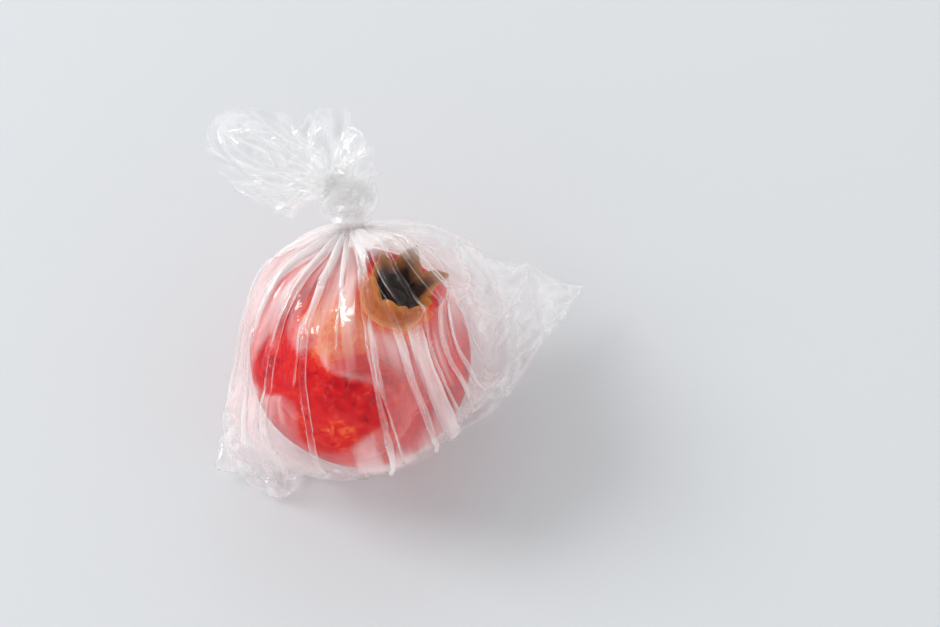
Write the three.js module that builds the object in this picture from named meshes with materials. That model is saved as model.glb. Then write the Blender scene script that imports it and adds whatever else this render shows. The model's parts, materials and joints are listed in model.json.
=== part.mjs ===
// A knotted bag of thin clear film that holds one pomegranate, lying as it was put down.
// Millimetres, +Z up. The origin is on the table, under the middle of the fruit.
// +Y is the way that the knotted neck points, +X the side of the long bottom corner.
import * as THREE from "three";
import { LoftGeometry } from "three/addons/geometries/LoftGeometry.js";
import { mergeGeometries } from "three/addons/utils/BufferGeometryUtils.js";

// Driving dimensions of the fruit
const FRUIT_DIAMETER = 84;
const FRUIT_HEIGHT_SHARE = 0.94;
const FRUIT_FLAT_DEPTH = 0.8;
const CROWN_LEAN_DEG = 25;
const CROWN_BEARING_DEG = 36;
const CROWN_BASE_DIAMETER = 19;
const CROWN_MOUTH_DIAMETER = 22;
const CROWN_HEIGHT = 9;
const CROWN_CUP_DEPTH = 10;
const CROWN_WALL = 1.6;
const SEPAL_LENGTH = 8;
const SEPAL_FLARE_DEG = 35;
const SEPAL_COUNT = 6;

// Driving dimensions of the film pouch
const FILM_WALL = 0.4;
const REST_FLAT_RADIUS = 14;
const PLEAT_DEPTH = 2.2;
const PLEAT_SHARE_AT_NECK = 0.3;
const PLEAT_FULL_DEG = { from: 40, to: 70 };
const PLEAT_END_DEG = { neck: 4, bottom: 140 };
const FOLD_THICKNESS = 1.2;
const FOLD_WIDENING = 3;
const NECK_SAG = { top: 0, under: 0 };
const EDGE_SAG = { top: 0.2, under: 1 };
const CROWN_SAG = { top: 1.8, under: 1.8 };

// The film's edge: on each side a fold that leads to a loose corner, and the seam that joins the corners.
// Its bends are given by the angle from the neck's axis, the turn round it and the reach from the middle.
const RIGHT_SHOULDER = { polarDeg: 52, turnDeg: 20, reach: 59 };
const RIGHT_TOP_BEND = { polarDeg: 70, turnDeg: 21, reach: 76 };
const RIGHT_CORNER_TOP = { polarDeg: 80, turnDeg: 22, reach: 91 };
const RIGHT_CORNER = { polarDeg: 85, turnDeg: 22, reach: 93 };
const RIGHT_LOW_BEND = { polarDeg: 109, turnDeg: 31, reach: 69 };
const RIGHT_FOOT = { polarDeg: 132, turnDeg: 32, reach: 55 };
const RIGHT_SEAM = { polarDeg: 151, turnDeg: 41, reach: 50 };
const LEFT_SHOULDER = { polarDeg: 118, turnDeg: 180, reach: 50 };
const LEFT_TOP_BEND = { polarDeg: 122, turnDeg: 168, reach: 67 };
const LEFT_CORNER_TOP = { polarDeg: 125, turnDeg: 170, reach: 72 };
const LEFT_CORNER = { polarDeg: 130, turnDeg: 172, reach: 73 };
const LEFT_LOW_BEND = { polarDeg: 139, turnDeg: 166, reach: 66 };
const LEFT_SEAM = { polarDeg: 156, turnDeg: 152, reach: 55 };
const SEAM_MIDDLE = { polarDeg: 168, turnDeg: 79, reach: 51.5 };
const RIGHT_EDGE = [
  RIGHT_SHOULDER, RIGHT_TOP_BEND, RIGHT_CORNER_TOP, RIGHT_CORNER,
  RIGHT_LOW_BEND, RIGHT_FOOT, RIGHT_SEAM,
];
const LEFT_EDGE = [
  LEFT_SHOULDER, LEFT_TOP_BEND, LEFT_CORNER_TOP, LEFT_CORNER,
  LEFT_LOW_BEND, LEFT_SEAM,
];

// Driving dimensions of the neck, the knot and the tail
const NECK_RISE_DEG = 40;
const NECK_BEARING_DEG = 93;
const NECK_STANDOFF = 7;
const NECK_RADIUS = 4.2;
const NECK_LENGTH = 4;
const KNOT_RADIUS = 9.6;
const KNOT_LENGTH = 13;
const KNOT_WRAP_DEPTH = 0.9;
const LEAK_RADIUS = 0.9;
const TAIL_RISE_DEG = 16;
const TAIL_RIGHT_DEG = 20;
const TAIL_LEFT_DEG = 205;
const TAIL_LIFT = 4;
const TAIL_LENGTH = 17;
const TAIL_LOBE_WIDTH = 0.2;
const TAIL_LEFT_LOBE = { length: 38, leftShare: 0.76 };
const TAIL_RIGHT_LOBE = { length: 11, leftShare: 0.4 };
const TAIL_LAYER_GAP = 2;
const TAIL_RUFFLE = 4;

// Clearances
const FRUIT_CLEARANCE = 0.5;
const CROWN_CLEARANCE = 1.2;

// How finely the skins are divided
const UNDER_COLUMNS = 14;
const TOP_COLUMNS = 29;
const POUCH_STEP_DEG = 5;
const CROWN_CAP_DEG = 3.2;
const TAIL_ROWS = 7;
const TAIL_RUFFLE_COUNT = 2.5;
const EDGE_STEPS = 10;
const FOLD_INSET = 0.5;
const EVEN_COLUMNS_DEG = { whole: 6, none: 30 };
const FRUIT_COLUMNS = 36;
const FRUIT_ROWS = 20;
const CROWN_ROWS = 4;

// Values that follow from the dimensions
const { clamp, degToRad, lerp, radToDeg, smoothstep } = THREE.MathUtils;
const FRUIT_HEIGHT = FRUIT_DIAMETER * FRUIT_HEIGHT_SHARE;
const POUCH_RADIUS = FRUIT_DIAMETER / 2 + FRUIT_CLEARANCE;
const OUTER_SHARE = (POUCH_RADIUS + FILM_WALL) / POUCH_RADIUS;
const CENTRE_HEIGHT = Math.sqrt((POUCH_RADIUS + FILM_WALL) ** 2 - REST_FLAT_RADIUS ** 2);
const NECK_DISTANCE = POUCH_RADIUS + NECK_STANDOFF;
const KNOT_START = NECK_DISTANCE + NECK_LENGTH;
const TAIL_START = KNOT_START + KNOT_LENGTH;
const FRUIT_FLOOR = FILM_WALL + FRUIT_CLEARANCE;

const centre = new THREE.Vector3(0, 0, CENTRE_HEIGHT);

// A unit vector from a rise above the table and a bearing from +X towards +Y.
function heading(riseDeg, bearingDeg) {
  return new THREE.Vector3().setFromSphericalCoords(1, degToRad(90 - riseDeg), degToRad(90 + bearingDeg))
    .applyAxisAngle(new THREE.Vector3(1, 0, 0), Math.PI / 2);
}

// A point at a height along an axis from the fruit's middle and a radius round it.
function aroundAxis(frame, height, radius, turn) {
  return centre.clone()
    .addScaledVector(frame.axis, height)
    .addScaledVector(frame.side, radius * Math.cos(turn))
    .addScaledVector(frame.under, radius * Math.sin(turn));
}

// The three directions of a round form whose axis leans: along it, level across it, and square to both.
function leaningFrame(riseDeg, bearingDeg) {
  const axis = heading(riseDeg, bearingDeg);
  const side = heading(0, bearingDeg - 90);
  const under = new THREE.Vector3().crossVectors(axis, side);
  return { axis, side, under };
}

// A point raised to a floor, where it lies under it.
function liftedTo(floor, point) {
  point.z = Math.max(point.z, floor);
  return point;
}

const neckFrame = leaningFrame(NECK_RISE_DEG, NECK_BEARING_DEG);
const crownFrame = leaningFrame(90 - CROWN_LEAN_DEG, CROWN_BEARING_DEG);

// The pomegranate: a round body with soft flats, and a crown of sepals round a cup

const crownBaseRadius = CROWN_BASE_DIAMETER / 2;
const crownBasePolar = Math.asin(CROWN_BASE_DIAMETER / FRUIT_DIAMETER);
const crownFoot = (FRUIT_HEIGHT / 2) * Math.cos(crownBasePolar);

// How far a sepal has risen at a turn: 0 in the notch between two sepals, 1 at a tip.
function sepalRise(turn) {
  const across = (turn * SEPAL_COUNT) / (2 * Math.PI);
  return 1 - Math.abs(2 * (across - Math.floor(across)) - 1);
}

// The crown's lip, which flares out along each sepal.
function crownLip(turn) {
  const along = SEPAL_LENGTH * sepalRise(turn);
  const flare = degToRad(SEPAL_FLARE_DEG);
  return {
    radius: CROWN_MOUTH_DIAMETER / 2 + along * Math.sin(flare),
    height: crownFoot + CROWN_HEIGHT + along * Math.cos(flare),
  };
}

function fruitRing(pointAt) {
  return Array.from({ length: FRUIT_COLUMNS }, (_, column) => {
    const turn = (column / FRUIT_COLUMNS) * 2 * Math.PI;
    const { height, radius } = pointAt(turn);
    return liftedTo(FRUIT_FLOOR, aroundAxis(crownFrame, height, radius, turn));
  });
}

function fruitBodyRing(polar) {
  return fruitRing((turn) => {
    const flat = FRUIT_FLAT_DEPTH * Math.sin(polar) ** 2 * (0.5 + 0.5 * Math.cos(SEPAL_COUNT * turn));
    return {
      height: (FRUIT_HEIGHT / 2) * Math.cos(polar),
      radius: (FRUIT_DIAMETER / 2 - flat) * Math.sin(polar),
    };
  });
}

// A ring of the crown's outer face, from its foot at 0 to its lip at 1.
function crownOuterRing(share) {
  return fruitRing((turn) => {
    const lip = crownLip(turn);
    return {
      height: lerp(crownFoot, lip.height, share),
      radius: lerp(crownBaseRadius, lip.radius, share ** 2),
    };
  });
}

// A ring of the crown's cup, from its lip at 0 to its floor at 1.
function crownInnerRing(share) {
  const floorRadius = crownBaseRadius - 2 * CROWN_WALL;
  const floorHeight = crownFoot + CROWN_HEIGHT - CROWN_CUP_DEPTH;
  return fruitRing((turn) => {
    const lip = crownLip(turn);
    return {
      height: lerp(lip.height, floorHeight, share),
      radius: lerp(lip.radius - CROWN_WALL, floorRadius, share),
    };
  });
}

function pomegranate() {
  const sections = [];
  for (let row = 0; row < FRUIT_ROWS; row += 1) {
    sections.push(fruitBodyRing(lerp(Math.PI, crownBasePolar, row / FRUIT_ROWS)));
  }
  for (let row = 0; row <= CROWN_ROWS; row += 1) {
    sections.push(crownOuterRing(row / CROWN_ROWS));
  }
  for (let row = 0; row <= CROWN_ROWS; row += 1) {
    sections.push(crownInnerRing(row / CROWN_ROWS));
  }
  const cupFloor = crownFoot + CROWN_HEIGHT - CROWN_CUP_DEPTH;
  sections.push(fruitRing(() => ({ height: cupFloor, radius: 0 })));
  const rind = new THREE.MeshStandardMaterial({ color: 0xcf3a2e, roughness: 0.45, metalness: 0 });
  const mesh = new THREE.Mesh(new LoftGeometry(sections), rind);
  mesh.name = "pomegranate";
  return mesh;
}

// The bag: one tube of film, closed by a seam at the bottom and tied in a knot above the fruit

// The columns of film run from the seam to the mouth. Each panel starts and ends at a folded edge.
function panelColumns(from, to, count, facing) {
  const inner = Array.from({ length: count }, (_, index) => ({
    between: (index + 1) / (count + 1),
    ridge: index % 2 === 1,
  }));
  const columns = [
    { between: 0, off: 1, fold: from },
    { between: 0, off: FOLD_WIDENING },
    ...inner,
    { between: 1, off: -FOLD_WIDENING },
    { between: 1, off: -1, fold: to },
  ];
  const last = columns.length - 1;
  return columns.map((column, index) => ({
    ...column,
    from,
    to,
    facing,
    across: index / last,
    acrossBesideFold: clamp(index, 1, last - 1) / last,
  }));
}

const rightEdgeNextRound = RIGHT_EDGE.map((bend) => ({ ...bend, turnDeg: bend.turnDeg + 360 }));
const underPanel = panelColumns(RIGHT_EDGE, LEFT_EDGE, UNDER_COLUMNS, -1);
const topPanel = panelColumns(LEFT_EDGE, rightEdgeNextRound, TOP_COLUMNS, 1);
const columns = [...underPanel, ...topPanel];
columns.forEach((column, index) => {
  column.evenTurn = degToRad(RIGHT_EDGE[0].turnDeg) + ((index + 0.5) / columns.length) * 2 * Math.PI;
  column.tailTurn = Math.PI * (column.facing < 0 ? column.across : 1 + column.across);
});

// A place on the film's edge, from the fruit's middle.
function edgePlace({ polarDeg, turnDeg, reach }) {
  const height = reach * Math.cos(degToRad(polarDeg));
  const radius = reach * Math.sin(degToRad(polarDeg));
  return aroundAxis(neckFrame, height, radius, degToRad(turnDeg)).sub(centre);
}

// A point that holds the film away from the round of the fruit. Film drawn from a higher point sags more.
function peakAt(place, height, cap, sag) {
  const lift = height / POUCH_RADIUS - 1;
  return {
    towards: place.clone().normalize(),
    tangent: Math.acos(Math.min(1, POUCH_RADIUS / height)),
    cap,
    topSlope: 1 + sag.top * lift,
    underSlope: 1 + sag.under * lift,
  };
}

// What holds the film off the fruit: the neck, the film's edge and the crown.
const neckEnd = { polarDeg: 0, turnDeg: 0, reach: NECK_DISTANCE };
const edgeBends = [neckEnd, ...RIGHT_EDGE, SEAM_MIDDLE, ...LEFT_EDGE.toReversed()].map(edgePlace);
const edgePeaks = edgeBends.slice(1).flatMap((bend, index) => (
  Array.from({ length: EDGE_STEPS }, (_, step) => {
    const place = edgeBends[index].clone().lerp(bend, (step + 1) / EDGE_STEPS);
    return peakAt(place, place.length() / OUTER_SHARE, 0, EDGE_SAG);
  })
));
const sepalTip = crownLip(Math.PI / SEPAL_COUNT);
const crownReach = Math.hypot(sepalTip.height, sepalTip.radius) + CROWN_CLEARANCE;
const crownCap = Math.atan2(sepalTip.radius, sepalTip.height) + degToRad(CROWN_CAP_DEG);
const crownPeak = peakAt(crownFrame.axis, crownReach, crownCap, CROWN_SAG);
const neckPeak = peakAt(neckFrame.axis, NECK_DISTANCE, 0, NECK_SAG);
const peaks = [neckPeak, ...edgePeaks, crownPeak];

// The radius of a panel's film, drawn from each peak to where it meets the round of the fruit.
function tautRadius(direction, facing) {
  const radii = peaks.map(({ towards, tangent, cap, topSlope, underSlope }) => {
    const away = Math.max(0, direction.angleTo(towards) - cap);
    const slope = facing > 0 ? topSlope : underSlope;
    return POUCH_RADIUS / Math.cos(Math.max(0, tangent - slope * away));
  });
  return Math.max(...radii);
}

// The two bends of an edge that an angle from the neck's axis lies between.
function bendsBeside(edge, degrees) {
  const next = edge.findIndex((bend) => bend.polarDeg >= degrees);
  if (next === 0) {
    return [edge[0], edge[0]];
  }
  return next < 0 ? [edge.at(-1), edge.at(-1)] : [edge[next - 1], edge[next]];
}

function edgeTurn(edge, degrees) {
  const [from, to] = bendsBeside(edge, degrees);
  const share = from === to ? 0 : (degrees - from.polarDeg) / (to.polarDeg - from.polarDeg);
  return degToRad(lerp(from.turnDeg, to.turnDeg, share));
}

// How far an edge reaches from the fruit's middle, on the straight line between its bends.
function edgeRadius(edge, degrees) {
  const [from, to] = bendsBeside(edge, degrees);
  if (from === to) {
    return 0;
  }
  const across = Math.sin(degToRad(to.polarDeg - from.polarDeg));
  const toShare = Math.sin(degToRad(degrees - from.polarDeg)) / to.reach;
  const fromShare = Math.sin(degToRad(to.polarDeg - degrees)) / from.reach;
  return across / (fromShare + toShare);
}

// Pleats stand highest on the fruit's shoulder and fade towards the neck and the bottom.
function pleatHeight(polar) {
  const degrees = radToDeg(polar);
  const fromNeck = smoothstep(degrees, PLEAT_END_DEG.neck, PLEAT_FULL_DEG.from);
  const fromBottom = 1 - smoothstep(degrees, PLEAT_FULL_DEG.to, PLEAT_END_DEG.bottom);
  return PLEAT_DEPTH * lerp(PLEAT_SHARE_AT_NECK, 1, fromNeck) * fromBottom;
}

// The turn of a column of the pouch, between the folds at its panel's sides.
function columnTurn(column, degrees) {
  const from = edgeTurn(column.from, degrees);
  const to = edgeTurn(column.to, degrees);
  const longest = Math.max(...column.from.map((bend) => bend.reach));
  const foldTurn = FOLD_THICKNESS / 2 / longest;
  return lerp(from, to, column.between) + (column.off ?? 0) * foldTurn;
}

// One ring of the pouch's film, a tent drawn over the fruit. The outer face is the inner one made larger.
function pouchRing(polar, isOuter) {
  const degrees = radToDeg(polar);
  const evenness = 1 - smoothstep(degrees, EVEN_COLUMNS_DEG.whole, EVEN_COLUMNS_DEG.none);
  return columns.map((column) => {
    const turn = lerp(columnTurn(column, degrees), column.evenTurn, evenness);
    const direction = aroundAxis(neckFrame, Math.cos(polar), Math.sin(polar), turn).sub(centre);
    const taut = tautRadius(direction, column.facing) + (column.ridge ? pleatHeight(polar) : 0);
    const inner = column.fold ? Math.max(taut, edgeRadius(column.fold, degrees) / OUTER_SHARE) : taut;
    const point = centre.clone().addScaledVector(direction, isOuter ? inner * OUTER_SHARE : inner);
    return liftedTo(isOuter ? 0 : FILM_WALL, point);
  });
}

// The end of the pouch opposite the neck: one point repeated for every column.
function pouchEnd(isOuter) {
  const inner = tautRadius(neckFrame.axis.clone().negate(), 1);
  return columns.map(() => aroundAxis(neckFrame, -(isOuter ? inner * OUTER_SHARE : inner), 0, 0));
}

// A ring round the neck's axis, with the knot's wraps as two slanting swells.
// The columns turn on their way through the knot, so that the two folds come out at the tail's sides.
function neckRing(along, radius, wrapDepth) {
  const height = KNOT_START + along * KNOT_LENGTH;
  return columns.map((column) => {
    const turn = lerp(column.evenTurn, column.tailTurn, smoothstep(along, 0, 1));
    const wrap = wrapDepth * Math.cos(2 * turn + 2 * Math.PI * along);
    return aroundAxis(neckFrame, height, radius + wrap, turn);
  });
}

// The knot, as shares of its length and of the way from the neck's radius to its own.
const KNOT_PROFILE = [
  { along: 0, swell: 0 },
  { along: 0.1, swell: 0.72 },
  { along: 0.3, swell: 1 },
  { along: 0.55, swell: 0.96 },
  { along: 0.78, swell: 0.86 },
  { along: 0.94, swell: 0.5 },
];

function knotRings() {
  return KNOT_PROFILE.map(({ along, swell }) => {
    const radius = lerp(NECK_RADIUS, KNOT_RADIUS, swell);
    return neckRing(along, radius, KNOT_WRAP_DEPTH * swell);
  });
}

// The tail is a ruffled fan of two layers with a long left lobe and a short right one.
const tailUp = heading(TAIL_RISE_DEG, NECK_BEARING_DEG);
const tailNormal = new THREE.Vector3().crossVectors(neckFrame.side, tailUp);

function tailLobe(lobe, leftShare) {
  const off = (leftShare - lobe.leftShare) / TAIL_LOBE_WIDTH;
  return lobe.length * Math.exp(-(off ** 2));
}

function tailReach(leftShare) {
  return TAIL_LENGTH + tailLobe(TAIL_LEFT_LOBE, leftShare) + tailLobe(TAIL_RIGHT_LOBE, leftShare);
}

// A step from the tail's root to a place on the fan between its layers.
function tailStep(column, across, share) {
  const leftShare = column.facing < 0 ? across : 1 - across;
  const opened = 1 - (1 - share) ** 2;
  const angle = degToRad(lerp(TAIL_RIGHT_DEG, TAIL_LEFT_DEG, lerp(0.5, leftShare, opened)));
  const reach = share * lerp(TAIL_LENGTH, tailReach(leftShare), opened);
  const ruffle = TAIL_RUFFLE * share ** 3 * Math.cos(2 * Math.PI * TAIL_RUFFLE_COUNT * leftShare);
  return new THREE.Vector3()
    .addScaledVector(neckFrame.side, reach * Math.cos(angle))
    .addScaledVector(tailUp, reach * Math.sin(angle))
    .addScaledVector(tailNormal, ruffle);
}

function tailRing(share, isOuter) {
  const round = (1 - share) ** 4;
  const stem = (isOuter ? NECK_RADIUS : LEAK_RADIUS) * round;
  const halfGap = (TAIL_LAYER_GAP / 2 + (isOuter ? FILM_WALL : 0)) * (1 - round);
  const inset = isOuter ? 0 : FOLD_INSET;
  return columns.map((column) => {
    const besideFold = tailStep(column, column.acrossBesideFold, share);
    const step = tailStep(column, column.across, share).lerp(besideFold, inset);
    return aroundAxis(neckFrame, TAIL_START + TAIL_LIFT * (1 - round), stem, column.tailTurn)
      .add(step)
      .addScaledVector(tailNormal, column.facing * halfGap);
  });
}

// A skin whose faces look the other way.
function insideOut(skin) {
  const corners = skin.index;
  for (let first = 0; first < corners.count; first += 3) {
    const second = corners.getX(first + 1);
    corners.setX(first + 1, corners.getX(first + 2));
    corners.setX(first + 2, second);
  }
  return skin;
}

function bag() {
  const neckPolar = Math.asin(NECK_RADIUS / NECK_DISTANCE);
  const pouchRows = Math.round((180 - radToDeg(neckPolar)) / POUCH_STEP_DEG);
  const rowShares = Array.from({ length: pouchRows }, (_, row) => (row + 1) / pouchRows);
  const polars = rowShares.map((share) => lerp(Math.PI, neckPolar, share));
  const tailShares = Array.from({ length: TAIL_ROWS }, (_, row) => (row + 1) / TAIL_ROWS);
  const outerRings = [
    pouchEnd(true),
    ...polars.map((polar) => pouchRing(polar, true)),
    ...knotRings(),
    ...tailShares.map((share) => tailRing(share, true)),
  ];
  const innerRings = [
    pouchEnd(false),
    ...polars.map((polar) => pouchRing(polar, false)),
    neckRing(0, LEAK_RADIUS, 0),
    neckRing(1, LEAK_RADIUS, 0),
    ...tailShares.map((share) => tailRing(share, false)),
  ];
  const skins = [
    new LoftGeometry(outerRings),
    new LoftGeometry([outerRings.at(-1), innerRings.at(-1)]),
    insideOut(new LoftGeometry(innerRings)),
  ];
  const film = new THREE.MeshStandardMaterial({ color: 0xe6ebee, roughness: 0.2, metalness: 0 });
  film.transparent = true;
  film.opacity = 0.35;
  const mesh = new THREE.Mesh(mergeGeometries(skins), film);
  mesh.name = "bag";
  return mesh;
}

const knottedBag = new THREE.Group();
knottedBag.add(bag(), pomegranate());

export default knottedBag;
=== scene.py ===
import json
import math

import bpy
import numpy as np
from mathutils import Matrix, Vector

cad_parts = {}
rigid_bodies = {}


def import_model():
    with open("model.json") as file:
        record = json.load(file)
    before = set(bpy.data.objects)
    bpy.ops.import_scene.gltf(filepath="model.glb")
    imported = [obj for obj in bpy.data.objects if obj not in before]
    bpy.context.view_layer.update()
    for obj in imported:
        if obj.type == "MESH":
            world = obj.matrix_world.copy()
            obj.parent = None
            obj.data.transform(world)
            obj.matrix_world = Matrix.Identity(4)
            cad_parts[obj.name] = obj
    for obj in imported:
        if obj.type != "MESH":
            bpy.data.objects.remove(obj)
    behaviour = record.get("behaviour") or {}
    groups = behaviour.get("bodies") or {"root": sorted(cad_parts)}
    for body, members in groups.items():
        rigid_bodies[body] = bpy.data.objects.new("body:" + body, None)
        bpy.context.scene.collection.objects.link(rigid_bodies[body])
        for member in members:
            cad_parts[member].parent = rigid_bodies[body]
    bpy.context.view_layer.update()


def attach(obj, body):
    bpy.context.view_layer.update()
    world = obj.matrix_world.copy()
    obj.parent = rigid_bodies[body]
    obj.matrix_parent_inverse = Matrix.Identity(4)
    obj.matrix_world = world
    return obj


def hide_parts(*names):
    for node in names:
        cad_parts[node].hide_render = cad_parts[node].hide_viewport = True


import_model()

# Lengths are in millimetres until they go into a mesh, which is in metres, as the stage is.
MM = 0.001
random = np.random.default_rng(11)
tail_random = np.random.default_rng(3)


def heading(rise, bearing):
    """A unit vector from a rise above the table and a bearing from +X towards +Y, in degrees."""
    r, b = math.radians(rise), math.radians(bearing)
    return np.array([math.cos(r) * math.cos(b), math.cos(r) * math.sin(b), math.sin(r)])


def unit(v):
    return v / np.linalg.norm(v, axis=-1, keepdims=True)


def smooth(x, start, end):
    """A soft step from 0 at the start to 1 at the end, which may be the lower one."""
    t = np.clip((x - start) / (end - start), 0, 1)
    return t * t * (3 - 2 * t)


def mixed(a, b, share):
    return a + (b - a) * share


def degrees_from(direction, way):
    return np.degrees(np.arccos(np.clip(direction @ unit(np.array(way)), -1, 1)))


def blurred(values, axes, rounds=3):
    """Each value averaged with its neighbours along the axes, some rounds over; the ends join up."""
    for _ in range(rounds):
        for axis in axes:
            values = (values + np.roll(values, 1, axis) + np.roll(values, -1, axis)) / 3
    return values


def leaning_frame(rise, bearing):
    """An axis, the level direction across it, and the one square to both."""
    axis, side = heading(rise, bearing), heading(0, bearing - 90)
    return axis, side, np.cross(axis, side)


CENTRE = np.array([0.0, 0.0, 40.55])
NECK, NECK_SIDE, NECK_UNDER = leaning_frame(40, 93)
CROWN, CROWN_SIDE, CROWN_UNDER = leaning_frame(65, 36)


def ring_faces(ids):
    """The four-sided faces of a tube whose rows of points close on themselves."""
    a, b = ids[:-1], np.roll(ids, -1, axis=1)[:-1]
    c, d = np.roll(ids, -1, axis=1)[1:], ids[1:]
    return np.stack([a, b, c, d], -1).reshape(-1, 4)


def zip_seam(grid):
    """Lays the second half of the first row on its first half, mirrored, as a seam does."""
    half = grid.shape[1] // 2
    grid[0, half + 1 :] = grid[0, 1:half][::-1]


def mesh_object(name, points, faces, attributes):
    mesh = bpy.data.meshes.new(name)
    mesh.from_pydata((points * MM).tolist(), [], faces)
    mesh.shade_smooth()
    for label, values in attributes.items():
        layer = mesh.attributes.new(label, "FLOAT", "POINT")
        layer.data.foreach_set("value", np.asarray(values, np.float32))
    mesh.update()
    obj = bpy.data.objects.new(name, mesh)
    bpy.context.scene.collection.objects.link(obj)
    return obj


# The pomegranate

FRUIT_RADIUS = 42.0
FRUIT_HALF_HEIGHT = 39.5
FRUIT_FLOOR = 0.9
FACET_DEPTH = 0.8
DENTS = 14
DENT_DEPTH = 0.45
CROWN_FOOT = 38.5
CROWN_FOOT_RADIUS = 12.2
CROWN_FOOT_SINK = 0.4
CROWN_BASE_RADIUS = 9.5
CROWN_MOUTH_RADIUS = 11.0
CROWN_HEIGHT = 9.0
CROWN_RIPPLE = 0.5
CROWN_RIPPLES = 17
CROWN_RIPPLE_TWIST = 9
CROWN_WALL_AT_LIP = 1.0
CROWN_WALL_GAIN = 0.6
LIP_ROUNDING = 0.25
CUP_FLOOR = CROWN_FOOT - 1.0
CUP_FLOOR_RADIUS = 6.3
SEPALS = 6
SEPAL_EDGES = np.radians([-20, 37, 97, 160, 220, 280, 340])
SEPAL_LENGTHS = np.array([6.0, 9.0, 8.0, 6.5, 5.5, 8.0])
SEPAL_FLARES = np.radians([30, 38, 25, 20, 12, 32])
BLUSH = unit(np.array([-0.15, -0.02, 0.98]))
BLUSH_REACH = math.radians(30)

# The tone of the rind runs from 0 to this value where it pales, from it to 1 up the crown's outside, and
# from 1 to 2 down into its cup. There it darkens the colour towards near black, which is painted shade in
# the recess over the brown of the dried stamens.
CROWN_TONE = 0.25
# How far from the crown's axis the rind starts to pale, and the share of that tone there and in the blush
NEAR_CROWN = 0.5
TONE_AT_CROWN = 0.5
TONE_AT_BLUSH = 0.7

FRUIT_COLUMNS = 216
RIND_ROWS = 120
CROWN_ROWS = 26
CUP_ROWS = 22


def sepal_at(turn):
    """Which sepal a turn falls on, and how far along it rises there: 0 in a notch, 1 at the tip."""
    turn = (turn - SEPAL_EDGES[0]) % (2 * np.pi) + SEPAL_EDGES[0]
    which = np.clip(np.searchsorted(SEPAL_EDGES, turn, side="right") - 1, 0, SEPALS - 1)
    across = (turn - SEPAL_EDGES[which]) / (SEPAL_EDGES[which + 1] - SEPAL_EDGES[which])
    return which, 1 - np.abs(2 * across - 1)


def crown_lip(turn):
    which, rise = sepal_at(turn)
    along = SEPAL_LENGTHS[which] * rise**0.9
    radius = CROWN_MOUTH_RADIUS + along * np.sin(SEPAL_FLARES[which] * rise)
    height = CROWN_FOOT + CROWN_HEIGHT + along * np.cos(SEPAL_FLARES[which] * rise)
    return radius, height


dent_way = unit(random.normal(size=(DENTS, 3)))
dent_phase = random.uniform(0, 2 * np.pi, DENTS)
dent_rate = random.uniform(2, 5, DENTS)


def dents(direction):
    """How far the rind lies under a plain round, from 0 to about 1 mm."""
    waves = np.cos(direction @ dent_way.T * dent_rate + dent_phase)
    return DENT_DEPTH * (1 + np.tanh(waves.sum(-1) / 3.0))


def round_crown(height, radius, turn):
    return (
        CENTRE
        + height[..., None] * CROWN
        + (radius * np.cos(turn))[..., None] * CROWN_SIDE
        + (radius * np.sin(turn))[..., None] * CROWN_UNDER
    )


foot_polar = math.asin(CROWN_FOOT_RADIUS / FRUIT_RADIUS)


def rind_rows(turn):
    """Rings of points from the fruit's far pole to the foot of its crown, each with its tones."""
    for polar in np.linspace(np.pi, foot_polar, RIND_ROWS)[1:]:
        facet = FACET_DEPTH * np.sin(polar) ** 2 * (0.5 + 0.5 * np.cos(SEPALS * turn))
        height = np.full(len(turn), FRUIT_HALF_HEIGHT * np.cos(polar))
        points = round_crown(height, (FRUIT_RADIUS - facet) * np.sin(polar), turn)
        away = unit(points - CENTRE)
        by_crown = smooth(-polar, -NEAR_CROWN, -foot_polar)
        blush = smooth(away @ BLUSH, math.cos(BLUSH_REACH), 1.0)
        tone = CROWN_TONE * np.maximum(TONE_AT_CROWN * by_crown, TONE_AT_BLUSH * blush)
        yield points - away * dents(away)[:, None], tone


def crown_rows(turn):
    """Rings up the outside of the crown to the tips of its sepals."""
    foot_radius = FRUIT_RADIUS * math.sin(foot_polar)
    foot_height = FRUIT_HALF_HEIGHT * math.cos(foot_polar) - CROWN_FOOT_SINK
    lip_radius, lip_height = crown_lip(turn)
    for share in np.linspace(0, 1, CROWN_ROWS)[1:]:
        height = mixed(foot_height, lip_height, share)
        waist = mixed(foot_radius, CROWN_BASE_RADIUS, smooth(share, 0, 0.3))
        radius = mixed(waist, lip_radius, share**2.2)
        radius = radius + CROWN_RIPPLE * share * np.sin(CROWN_RIPPLES * turn + CROWN_RIPPLE_TWIST * share)
        tone = np.full(len(turn), CROWN_TONE + (1 - CROWN_TONE) * share)
        yield round_crown(height, radius, turn), tone


def cup_rows(turn):
    """Rings from the lip down the inside of the crown, whose tone rises with depth so that the colour darkens
    there as painted shade.
    """
    lip_radius, lip_height = crown_lip(turn)
    for share in np.linspace(0, 1, CUP_ROWS):
        height = mixed(lip_height - LIP_ROUNDING, CUP_FLOOR, share)
        inner = lip_radius - CROWN_WALL_AT_LIP - CROWN_WALL_GAIN * smooth(share, 0, 0.2)
        radius = mixed(inner, CUP_FLOOR_RADIUS, smooth(share, 0, 0.9))
        yield round_crown(height, radius, turn), np.full(len(turn), 1.0 + share)


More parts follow.
